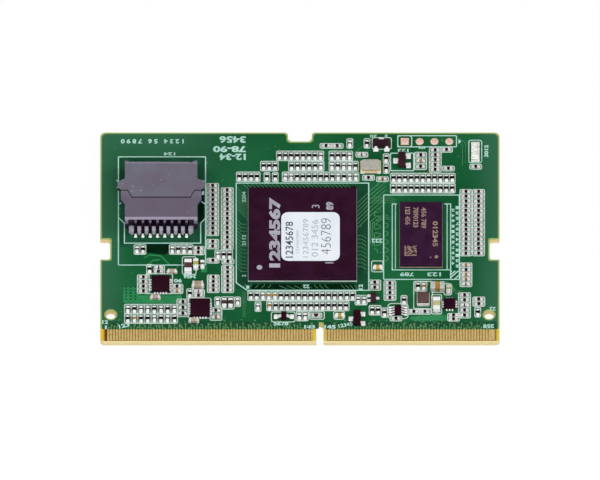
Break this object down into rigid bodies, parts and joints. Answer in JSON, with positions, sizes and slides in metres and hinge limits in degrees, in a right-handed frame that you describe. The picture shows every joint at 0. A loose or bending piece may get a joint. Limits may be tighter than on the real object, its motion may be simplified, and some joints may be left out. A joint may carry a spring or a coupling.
{
  "type": "plug-in computer module board",
  "caption": "Plug-in computer module board with an edge connector, a large square processor, a memory chip and a chip socket under two hinged covers.",
  "frame": {"origin": "under the middle of the board's outline, at the face of the back contacts", "axes": "+X along the contact edge with the chip side up and the contacts towards the viewer, +Y from the contact edge to the far edge, +Z from the back to the chip side"},
  "size_m": [0.0696, 0.0432, 0.0049],
  "materials": {
    "board": "green solder mask over copper, gold contacts",
    "processor_laminate": "bare laminate edge",
    "processor_moulding": "fine matte moulding",
    "label_paper": "printed paper film",
    "memory_laminate": "bare laminate edge",
    "memory_moulding": "fine matte moulding",
    "socket_plastic": "moulded, slightly glossy",
    "contact_metal": "bright tinned",
    "chip_moulding": "fine matte moulding, tinned leads",
    "crystal_ceramic": "unglazed ceramic",
    "crystal_lid": "plated lid",
    "lamp_lens": "translucent white",
    "inductor_body": "matte pressed powder, tinned ends",
    "ferrite": "matte, tinned ends",
    "capacitor_ceramic": "matte ceramic, tinned ends"
  },
  "bodies": {
    "module": {"board": "board", "processor_substrate": "processor_laminate", "processor_cap": "processor_moulding", "processor_label": "label_paper", "memory_substrate": "memory_laminate", "memory_cap": "memory_moulding", "socket_base": "socket_plastic", "socket_contact_01": "contact_metal", "socket_contact_02": "contact_metal", "socket_contact_03": "contact_metal", "socket_contact_04": "contact_metal", "socket_contact_05": "contact_metal", "socket_contact_06": "contact_metal", "socket_contact_07": "contact_metal", "socket_contact_08": "contact_metal", "socket_contact_09": "contact_metal", "socket_contact_10": "contact_metal", "socket_contact_11": "contact_metal", "socket_contact_12": "contact_metal", "socket_contact_13": "contact_metal", "socket_contact_14": "contact_metal", "socket_contact_15": "contact_metal", "socket_contact_16": "contact_metal", "flash_chip": "chip_moulding", "power_controller_1": "chip_moulding", "power_controller_2": "chip_moulding", "load_switch": "chip_moulding", "transistor_1": "chip_moulding", "transistor_2": "chip_moulding", "transistor_3": "chip_moulding", "small_switch": "chip_moulding", "translator_chip": "chip_moulding", "diode": "chip_moulding", "crystal_base": "crystal_ceramic", "crystal_lid": "crystal_lid", "status_lamp": "lamp_lens", "power_inductor": "inductor_body", "ferrite_bead": "ferrite", "capacitor_01": "capacitor_ceramic", "capacitor_02": "capacitor_ceramic", "capacitor_03": "capacitor_ceramic", "capacitor_04": "capacitor_ceramic", "capacitor_05": "capacitor_ceramic", "capacitor_06": "capacitor_ceramic", "capacitor_07": "capacitor_ceramic", "capacitor_08": "capacitor_ceramic", "capacitor_09": "capacitor_ceramic", "capacitor_10": "capacitor_ceramic", "capacitor_11": "capacitor_ceramic", "capacitor_12": "capacitor_ceramic", "capacitor_13": "capacitor_ceramic"},
    "front_cover": {"socket_front_cover": "socket_plastic"},
    "rear_cover": {"socket_rear_cover": "socket_plastic"}
  },
  "joints": [
    {"name": "front_cover_hinge", "type": "hinge", "parent": "module", "child": "front_cover", "pos_m": [-0.0242, 0.00213, 0.00344], "axis": [1, 0, 0], "range_deg": [0, 95]},
    {"name": "rear_cover_hinge", "type": "hinge", "parent": "module", "child": "rear_cover", "pos_m": [-0.0242, 0.01273, 0.00344], "axis": [-1, 0, 0], "range_deg": [0, 95]}
  ]
}
